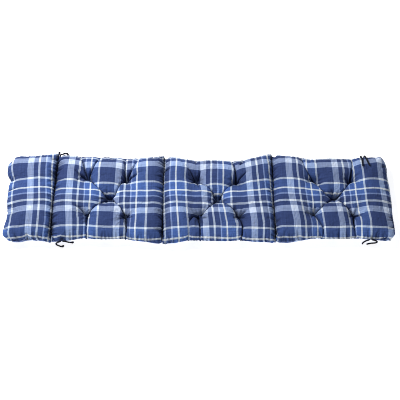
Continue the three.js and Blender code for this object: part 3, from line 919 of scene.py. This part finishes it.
def creased(x, y):
    """The share of the filling's height that the tufts and creases take away."""
    lines = creases(CREASE_REACH)
    left = 1 - SHOULDER * deepest(x, y, lines, lambda depth, away: depth * (1 - rolled(away, CREASE_SIDE)))
    for tuft, away in tufts_from(x, y):
        left *= 1 - at_tuft(TUFT_SINK, tuft) * fading(away, TUFT_FADE)
        left *= 1 - at_tuft(PIT_SINK, tuft) * fading(away, PIT_FADE)
    return 1 - left


def slits(x, y):
    """How far the narrow bottoms of the creases and of the tufts' pits cut down."""
    lines = creases(SLIT_REACH)
    cut = deepest(x, y, lines, lambda depth, away: SLIT_DEPTH * sharpness(depth) * clamp01(1 - away))
    for tuft, away in tufts_from(x, y):
        cut = np.maximum(cut, at_tuft(PIT_SLIT, tuft) * fading(away, PIT_CORE))
    return cut


def folds(x, y):
    """How far the gathers and the pleats cut down."""
    return deepest(x, y, FOLD_LINES, lambda depth, away: depth * (1 - clamp01(away) ** 2) ** 2)


# Fine wrinkles


def fans(x, y):
    """For each tuft, how far off points lie and which way, and the waves that fan out from it."""
    bend = FAN_BEND * noise(x / FAN_CELL, y / FAN_CELL, SEEDS["bend"])
    for k, (tuft, away) in enumerate(tufts_from(x, y)):
        turn = np.arctan2(y - tuft[1], x - tuft[0])
        around = FAN_WRINKLES * ((turn + bend) / (2 * np.pi) + 1)
        yield tuft, away, turn, noise(around, away / FAN_CELL, SEEDS["fan"] + k)


def furrows(wave, furrow):
    """Narrow furrows, from 0 to 1, along the lines where a wave is nought."""
    return clamp01(1 - furrow * np.abs(wave))


def wrinkled(x, y):
    """How far the fine wrinkles cut down, which run off the tufts, the seams and the edges."""
    sunk = np.zeros_like(x)
    for tuft, away, _, wave in fans(x, y):
        share = clamp01(away / at_tuft(FAN_START, tuft)) * fading(away, FAN_FADE)
        share = share * (FAN_MIDDLE if tuft == MIDDLE_TUFT else 1)
        sunk = np.maximum(sunk, share * furrows(wave, FAN_FURROW))
    for k, seam in enumerate(SEAMS_X):
        away = np.abs(x - seam)
        along, start = (x - seam) / SEAM_WRINKLE_LENGTH + 0.5 * np.sign(x - seam), NOISE_AT["seam"]
        wave = noise(y / WRINKLE_SPACING + start, along + start, SEEDS["seam"] + k)
        share = clamp01(away / SEAM_WRINKLE_START) * fading(away, WRINKLE_FADE)
        sunk = np.maximum(sunk, share * furrows(wave, WRINKLE_FURROW))
    edge = to_edge(x, y)
    inner = clamp01(edge / EDGE_WRINKLE_START)
    wave = noise((x + y) / WRINKLE_SPACING + NOISE_AT["edge"], edge / EDGE_WRINKLE_LENGTH, SEEDS["edge"])
    share = np.where(y > 0, *EDGE_WRINKLES) * inner * fading(edge, WRINKLE_FADE)
    sunk = np.maximum(sunk, share * furrows(wave, WRINKLE_FURROW))
    crumple = noise(x / CRUMPLE_SIZE[0], y / CRUMPLE_SIZE[1], SEEDS["crumple"])
    return WRINKLE_DEPTH * sunk + CRUMPLE * crumple * inner


# The filling, which the upper cloth lies over


def lumps(x, y):
    """Soft unevenness of the filling, as smooth random heights."""
    dice = np.random.default_rng(SEEDS["lumps"])
    total = np.zeros_like(x)
    for size, height in LUMPS:
        values = dice.uniform(-1, 1, [int(span / size) + 3 for span in LUMPS_SPAN])
        total += height * between(values, (x - LUMPS_FROM[0]) / size, (y - LUMPS_FROM[1]) / size)
    return total


def quilted(x):
    """How much of the lower middle of a tufted section is reached, from 0 beside the seams to 1."""
    share = np.zeros_like(x)
    for group in TUFTS:
        if group:
            left, right = min(tuft[0] for tuft in group), max(tuft[0] for tuft in group)
            share += clamp01((x - left) / QUILT_BLEND + 1) * clamp01((right - x) / QUILT_BLEND + 1)
    return share**2 * (3 - 2 * share)


def filling_height(x, y):
    seam = to_seam(x)
    crown = np.array(CROWNS)[np.searchsorted(SEAMS_X, x)]
    inwards = rolled(to_edge(x, y), EDGE_ROLL)
    base = SEAM_TOP + (RIM_Z - SEAM_TOP) * np.maximum(1 - inwards, rolled(seam, BASE_ROLL))
    share = inwards * rolled(seam, SEAM_ROLL)
    share = share * (1 - QUILTED * quilted(x)) * (1 - creased(x, y))
    height = base + (crown - base) * share + lumps(x, y) * inwards
    cut = slits(x, y) + folds(x, y)
    return np.maximum(height - cut * inwards, np.minimum(base, height))


def lattice_tufts(x, y):
    """Each tuft's nearest point of the lattice, among those that its coarse level has too."""
    step = LEVELS[0][0]
    coarse = tufts_from(x[::step, ::step], y[::step, ::step])
    return [np.array(np.unravel_index(away.argmin(), away.shape)) * step for _, away in coarse]


def upsample(field):
    """Twice the lattice, with the points between as averages."""
    for axis in (0, 1):
        field = np.moveaxis(field, axis, 0)
        fine = np.zeros((2 * len(field) - 1, *field.shape[1:]), field.dtype)
        fine[::2] = field
        fine[1::2] = (field[1:] + field[:-1]) / 2
        field = np.moveaxis(fine, 0, axis)
    return field


def simulate_upper():
    """The relaxed upper cloth's points, their places on the flat cloth, and where they started in plan."""
    plan, flat = lay_out()
    x, y = plan[..., 0], plan[..., 1]
    filling = filling_height(x, y)
    holding = FILL_PUSH + CREASE_HOLD * clamp01((slits(x, y) + folds(x, y)) / FIRM_CUT)
    drawn_y = notched(x, y.copy())
    first = np.stack([x, drawn_y, filling], -1).astype(np.float32)
    tuft_points = lattice_tufts(x, drawn_y)
    seam_depth = np.full(ROWS + 1, SEAM_TOP)
    seam_depth[[0, -1]] = RIM_Z
    moved = np.zeros_like(first[:: LEVELS[0][0], :: LEVELS[0][0]])
    for step, rounds in LEVELS:
        home = first[::step, ::step]
        fill = filling[::step, ::step].astype(np.float32)
        hold = holding[::step, ::step].astype(np.float32)
        fringe = np.ones(fill.shape, bool)
        fringe[1:-1, 1:-1] = False
        home_rim = home[fringe].copy()
        home_rim[:, 2] = RIM_Z
        seam_columns = np.cumsum(COLUMNS[:-1]) // step
        sewn = [(tuple(at // step), tuft) for at, tuft in zip(tuft_points, ALL_TUFTS)]

        def pin(p):
            off = p[fringe] - home_rim
            length = np.sqrt((off * off).sum(-1, keepdims=True))
            p[fringe] = home_rim + off * np.minimum(RIM_GIVE, RIM_PLAY / np.maximum(length, TINY))
            for c in seam_columns:
                held = slice(c + -SEAM_HELD // step, c + SEAM_HELD // step + 1)
                p[held, 1:-1, 0] = home[held, 1:-1, 0]
                p[c, :, 2] = seam_depth[::step]
                p[c, 1:-1, 1] += SEAM_PULL * (home[c, 1:-1, 1] - p[c, 1:-1, 1])
            for at, tuft in sewn:
                p[at] = (*tuft, at_tuft(TUFT_TOP, tuft))

        points = home + moved
        relax(points, flat[::step, ::step], home, rounds, fill, hold, pin)
        if step > 1:
            moved = upsample(points - home)
    sunk = wrinkled(x, y) + KEPT_FOLDS * clamp01(to_edge(x, y) / UNFOLDED_RIM) * folds(x, y)
    points[1:-1, 1:-1, 2] -= sunk[1:-1, 1:-1]
    return points, flat, plan


# The lower cloth, on every second point of the lattice, with the rim shared


def lower_height(x, y):
    swell = rolled(to_edge(x, y), UNDER_ROLL) * rolled(to_seam(x), UNDER_ROLL)
    z = FLOOR_GAP + (SEAM_BOTTOM - FLOOR_GAP) * (1 - swell)
    for _, away in tufts_from(x, y):
        z = np.maximum(z, TUFT_BOTTOM * fading(away, DIMPLE_FADE))
    return z


# Painted shade: how dark the folds are painted, standing in for their shadow


def seam_shade(x, y):
    # Painted shade along the seams, ragged and wider towards the near edge, fading out at the rim and the
    # near end
    a, b, c = SEAM_WAVES
    ragged = 1 + SEAM_RAGGED * np.sin(a * y + 3 * np.sin(b * y)) * np.sin(c * y + 1)
    seam = np.min([np.abs(x - line) / width for line, width in zip(SEAMS_X, SEAM_SHADE)], axis=0)
    widens_at, over = SEAM_SHADE_WIDENS
    ragged = ragged * (1 + SEAM_SHADE_NEARER * clamp01((widens_at - y) / over))
    ends_at, fades_over = SEAM_SHADE_ENDS
    deep = clamp01(SHADE_CORE["seam"] - seam / ragged) * clamp01(inside_long_edges(x, y) / UNSHADED_RIM)
    return deep * clamp01((y - ends_at) / fades_over)


def fold_shade(x, y):
    """Painted shade: how deep in a fold the cloth lies, where its colour is darkened for the shadow there: 0
    to 1.
    """

    def crease_shade(depth, away):
        return sharpness(depth) * clamp01(SHADE_CORE["crease"] - away)

    deep = np.maximum(seam_shade(x, y), deepest(x, y, creases(CREASE_SHADE), crease_shade))
    for tuft, away in tufts_from(x, y):
        deep = np.maximum(deep, clamp01(SHADE_CORE["pit"] - away / at_tuft(PIT_SHADE, tuft)))
    for side in ("near", "far"):
        to_rim = np.abs(y - edge_at(side, x))
        for place, draw in NOTCHES[side]:
            away = np.abs(x - place) / NOTCH_SHADE + to_rim / (NOTCH_SHADE_RUN * draw)
            share = clamp01(SHADE_CORE["notch"] - away)
            deep = np.maximum(deep, clamp01(share * draw / NOTCH_DRAWN))
    for _, place, side, _, _ in TIES:
        if side == "near":
            away = np.hypot((x - place) / TIE_SHADE[0], (y - edge_at(side, x)) / TIE_SHADE[1])
            deep = np.maximum(deep, clamp01(SHADE_CORE["tie"] - away))
    # Painted shade along the gathers, the pleats and the fine wrinkles
    fine = (wrinkled(x, y) / WRINKLE_DEPTH).clip(0) ** WRINKLE_SHADE_POWER
    return np.maximum(deep, FOLD_PAINTED_SHADE * clamp01(folds(x, y) / FULLY_SHADED_FOLD + WRINKLE_PAINTED_SHADE * fine))


# The closed skin


def skin_faces(top, under):
    """The faces of the upper and the lower cloth, and slivers where the upper rim has twice the points."""
    quads = [top[:-1, :-1], top[1:, :-1], top[1:, 1:], top[:-1, 1:]]
    low = [under[:-1, :-1], under[:-1, 1:], under[1:, 1:], under[1:, :-1]]
    slivers = []
    for line, turned in ((top[:, 0], False), (top[:, -1], True), (top[0], True), (top[-1], False)):
        for a, b, c in zip(*(line[start::2].tolist() for start in (0, 1, 2))):
            slivers.append([b, c, a] if turned else [c, b, a])
    return [face for part in (quads, low) for face in np.stack(part, -1).reshape(-1, 4).tolist()] + slivers


def closed_mesh(name, upper, flat, plan):
    """One closed skin of the upper and the lower cloth, with the flat cloth's and the sett's places."""
    top = np.arange(upper[..., 0].size).reshape(upper.shape[:2])
    half = plan[::2, ::2]
    lower = np.dstack([half, lower_height(half[..., 0], half[..., 1])])[1:-1, 1:-1]
    under = top[::2, ::2].copy()
    under[1:-1, 1:-1] = top.size + np.arange(lower[..., 0].size).reshape(lower.shape[:2])
    points = np.concatenate([upper.reshape(-1, 3), lower.reshape(-1, 3)])
    places = np.concatenate([flat.reshape(-1, 4), flat[2:-2:2, 2:-2:2].reshape(-1, 4)]).astype(np.float32)
    obj = new_mesh(name, points, skin_faces(top, under))
    corners = np.zeros(len(obj.data.loops), int)
    obj.data.loops.foreach_get("vertex_index", corners)
    for layer_name, part in (("cloth", places[:, :2]), ("sett", places[:, 2:])):
        layer = obj.data.uv_layers.new(name=layer_name)
        layer.uv.foreach_set("vector", part[corners].ravel())
    # The painted shade, from 0 to 1, which darkens the cloth's colour in the folds; the lower cloth has none
    deep = np.zeros(len(points), np.float32)
    deep[: top.size] = fold_shade(plan[..., 0], plan[..., 1]).ravel()
    obj.data.attributes.new("fold", "FLOAT", "POINT").data.foreach_set("value", deep)
    return obj


# The plaid's places on the flat cloth


def through(places, chart):
    """np.interp that carries on in a straight line beyond both ends of the chart."""
    at, value = np.array(chart, float).T
    found = np.interp(places, at, value)
    low, high = (value[1] - value[0]) / (at[1] - at[0]), (value[-1] - value[-2]) / (at[-1] - at[-2])
    return found + low * np.minimum(places - at[0], 0) + high * np.maximum(places - at[-1], 0)


def gathered_at_rim(x, y):
    """How far the gathers at the long edges have drawn the cloth outwards there."""
    drawn = np.zeros_like(x)
    for side in ("near", "far"):
        inwards = fading(np.abs(y - edge_at(side, x)), RIM_GATHER_FADE)
        for place, draw in NOTCHES[side]:
            near = np.exp(-np.abs(x - place) / RIM_GATHER_WIDTH)
            drawn += OUTWARDS[side] * RIM_GATHER * draw * inwards * near
    return drawn


def ruffled(x, y):
    """How far the wrinkles around the tufts, which swallow cloth, have shifted the plaid along and across."""
    shift = np.zeros((*x.shape, 2))
    for _, away, turn, wave in fans(x, y):
        share = RUFFLE * wave * clamp01(away / FAN_START[0]) * fading(away, RUFFLE_FADE)
        shift += share[..., None] * np.stack([-np.sin(turn), np.cos(turn)], -1)
    return shift


def sett_places(flat, plan):
    """The place of each lattice point in repeats of the sett, along and across the cushion."""
    x, y = plan[..., 0], plan[..., 1]
    flat = flat + ruffled(x, y)
    u, v = flat[..., 0], flat[..., 1]
    counts = [row[0] for row in SETT_ALONG]
    along = np.zeros_like(u)
    for j in range(u.shape[1]):
        middle = np.median(v[:, j])
        lines = [np.interp(middle, SETT_ROWS[::-1], places[::-1]) for _, *places in SETT_ALONG]
        along[:, j] = through(u[:, j], list(zip(lines, counts)))
    v = v + gathered_at_rim(x, y)
    where, near_drift, far_drift = np.array(SETT_DRIFT).T
    side = clamp01(v / SETT_SIDES + 0.5)
    drift = np.interp(u, where, near_drift) * (1 - side) + np.interp(u, where, far_drift) * side
    across = through(v - drift, [(place, count) for count, place in SETT_ACROSS])
    return np.stack([along, across], -1)


# Materials


def node(tree, kind, inputs=(), **settings):
    """A shader node with its settings, and its inputs as values or as sockets to link."""
    made = tree.nodes.new(kind)
    for key, value in settings.items():
        setattr(made, key, value)
    for key, value in dict(inputs).items():
        if isinstance(value, bpy.types.NodeSocket):
            tree.links.new(value, made.inputs[key])
        else:
            made.inputs[key].default_value = value
    return made


def math_node(tree, operation, a, b=0.0):
    return node(tree, "ShaderNodeMath", {0: a, 1: b}, operation=operation).outputs[0]


def mixed(tree, share, first, second):
    return node(tree, "ShaderNodeMixRGB", {"Fac": share, "Color1": first, "Color2": second}).outputs[0]


def gamma(tree, colour, power):
    return node(tree, "ShaderNodeGamma", {"Color": colour, "Gamma": power}).outputs[0]


def bump(tree, height, distance, strength, **more):
    inputs = {"Height": height, "Distance": distance, "Strength": strength, **more}
    return node(tree, "ShaderNodeBump", inputs).outputs[0]


def speckle(tree, place, scale, detail, **settings):
    inputs = {"Vector": place, "Scale": scale, "Detail": detail}
    return node(tree, "ShaderNodeTexNoise", inputs, **settings).outputs[0]


def ranged(tree, value, low, high):
    """A noise texture's usual range spread from low to high."""
    inputs = {0: value, 1: NOISE_RANGE[0], 2: NOISE_RANGE[1], 3: low, 4: high}
    return node(tree, "ShaderNodeMapRange", inputs).outputs[0]


def material(name):
    made = bpy.data.materials.new(name)
    made.use_nodes = True
    return made, made.node_tree, made.node_tree.nodes["Principled BSDF"]


def stripes(tree, place):
    """The colour and weight of the thread at a place counted in repeats of the sett."""
    ramp = node(tree, "ShaderNodeValToRGB", {0: math_node(tree, "FRACT", place)})
    ramp.color_ramp.interpolation = "CONSTANT"
    elements = ramp.color_ramp.elements
    elements.remove(elements[1])
    for k, (start, thread) in enumerate(SETT_STRIPES):
        element = elements[0] if k == 0 else elements.new(start)
        element.position = start
        element.color = THREADS[thread]
    return ramp.outputs["Color"], ramp.outputs["Alpha"]


def plaid_colour(tree):
    """The colour that the warp's and the weft's stripes make where they cross."""
    sett_map = node(tree, "ShaderNodeUVMap", uv_map="sett").outputs[0]
    sett_axes = node(tree, "ShaderNodeSeparateXYZ", {0: sett_map})
    warp, warp_weight = stripes(tree, sett_axes.outputs[0])
    weft, weft_weight = stripes(tree, sett_axes.outputs[1])
    both = math_node(tree, "ADD", warp_weight, weft_weight)
    share = math_node(tree, "DIVIDE", weft_weight, both)
    woven = mixed(tree, share, gamma(tree, warp, THREAD_ROOT), gamma(tree, weft, THREAD_ROOT))
    return gamma(tree, woven, 1 / THREAD_ROOT)


def slubs(tree, flat_map):
    """How much lighter or darker the uneven yarn is, both ways."""
    streaks = 1.0
    for stretch in (SLUB_STRETCH, SLUB_STRETCH[::-1]):
        turned = node(tree, "ShaderNodeMapping", {"Vector": flat_map, "Scale": (*stretch, 1)}).outputs[0]
        tone = ranged(tree, speckle(tree, turned, 1, 3, noise_dimensions="2D"), 1 - SLUB, 1 + SLUB)
        streaks = math_node(tree, "MULTIPLY", tone, streaks)
    return streaks


def plain_weave(tree, flat_map):
    axes = node(tree, "ShaderNodeSeparateXYZ", {0: flat_map})
    turns = [math_node(tree, "MULTIPLY", axes.outputs[k], 2 * math.pi * THREADS_PER_METRE) for k in (0, 1)]
    return math_node(tree, "MULTIPLY", *(math_node(tree, "SINE", turn) for turn in turns))


def make_cover_cloth():
    """The plaid with painted shade in its folds, its weave, and the crumples that a filled cotton cover
    keeps.
    """
    made, tree, shader = material("plaid_cotton")
    flat_map = node(tree, "ShaderNodeUVMap", uv_map="cloth").outputs[0]
    yarn = node(tree, "ShaderNodeVectorMath", {0: plaid_colour(tree)}, operation="SCALE")
    tree.links.new(slubs(tree, flat_map), yarn.inputs["Scale"])
    # Painted shade: the fold attribute mixes the cloth's colour towards a near-black blue in the folds
    fold = node(tree, "ShaderNodeAttribute", attribute_name="fold")
    depth = math_node(tree, "MULTIPLY", fold.outputs["Fac"], PAINTED_SHADE_STRENGTH)
    tree.links.new(mixed(tree, depth, yarn.outputs[0], PAINTED_SHADE_COLOUR), shader.inputs["Base Color"])
    crumple = node(tree, "ShaderNodeTexNoise", {"Vector": flat_map, **CRUMPLE_NOISE}, noise_dimensions="2D")
    coarse = bump(tree, crumple.outputs[0], CRUMPLE_HEIGHT, 1.0)
    fine = bump(tree, plain_weave(tree, flat_map), WEAVE_HEIGHT, WEAVE_STRENGTH, Normal=coarse)
    tree.links.new(fine, shader.inputs["Normal"])
    tree.links.new(ranged(tree, crumple.outputs[0], *CLOTH_ROUGHNESS), shader.inputs["Roughness"])
    shader.inputs["Specular IOR Level"].default_value = 0.12
    shader.inputs["Sheen Weight"].default_value = 0.03
    shader.inputs["Sheen Roughness"].default_value = 0.5
    return made


def make_tie_yarn():
    made, tree, shader = material("tie_yarn")
    place = node(tree, "ShaderNodeTexCoord").outputs["Object"]
    fluff = speckle(tree, place, YARN_FLUFF, 3)
    worn = speckle(tree, place, YARN_WEAR, 2)
    tree.links.new(mixed(tree, worn, YARN_DARK, YARN_WORN), shader.inputs["Base Color"])
    tree.links.new(bump(tree, fluff, NAP_HEIGHT, NAP_STRENGTH), shader.inputs["Normal"])
    tree.links.new(ranged(tree, fluff, *YARN_ROUGHNESS), shader.inputs["Roughness"])
    shader.inputs["Specular IOR Level"].default_value = 0.2
    return made


def make_floor_paint():
    made, _, shader = material("floor_paint")
    shader.inputs["Base Color"].default_value = (FLOOR_GREY, FLOOR_GREY, FLOOR_GREY, 1)
    shader.inputs["Roughness"].default_value = 0.9
    shader.inputs["Emission Color"].default_value = WHITE
    shader.inputs["Emission Strength"].default_value = FLOOR_GLOW
    return made


tie_yarn = make_tie_yarn()
for obj in ties:
    obj.data.materials.append(tie_yarn)

points, flat, plan = simulate_upper()
cushion = closed_mesh("cover", points, np.concatenate([flat, sett_places(flat, plan)], -1), plan)
cushion.data.materials.append(make_cover_cloth())
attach(cushion, "root")
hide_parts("cushion")

# The floor and the lights

floor_mesh = bpy.data.meshes.new("floor")
corners = [(-1, -1), (1, -1), (1, 1), (-1, 1)]
floor_mesh.from_pydata([(FLOOR_HALF * x, FLOOR_HALF * y, 0) for x, y in corners], [], [(0, 1, 2, 3)])
floor_mesh.materials.append(make_floor_paint())
floor = add_object("floor", floor_mesh)


def area_light(name, place, size, power):
    """A round light that shines at the middle of the cushion's underside."""
    data = bpy.data.lights.new(name, "AREA")
    data.shape = "DISK"
    data.size = size
    data.energy = power
    data.color = LIGHT
    light = add_object(name, data)
    light.location = place
    light.rotation_euler = (-Vector(place)).to_track_quat("-Z", "Y").to_euler()


for name, (place, size, power) in LIGHTS.items():
    area_light(name, place, size, power)

world = bpy.data.worlds.new("studio")
bpy.context.scene.world = world
world.use_nodes = True
world.node_tree.nodes["Background"].inputs["Color"].default_value = WHITE
world.node_tree.nodes["Background"].inputs["Strength"].default_value = WORLD_STRENGTH
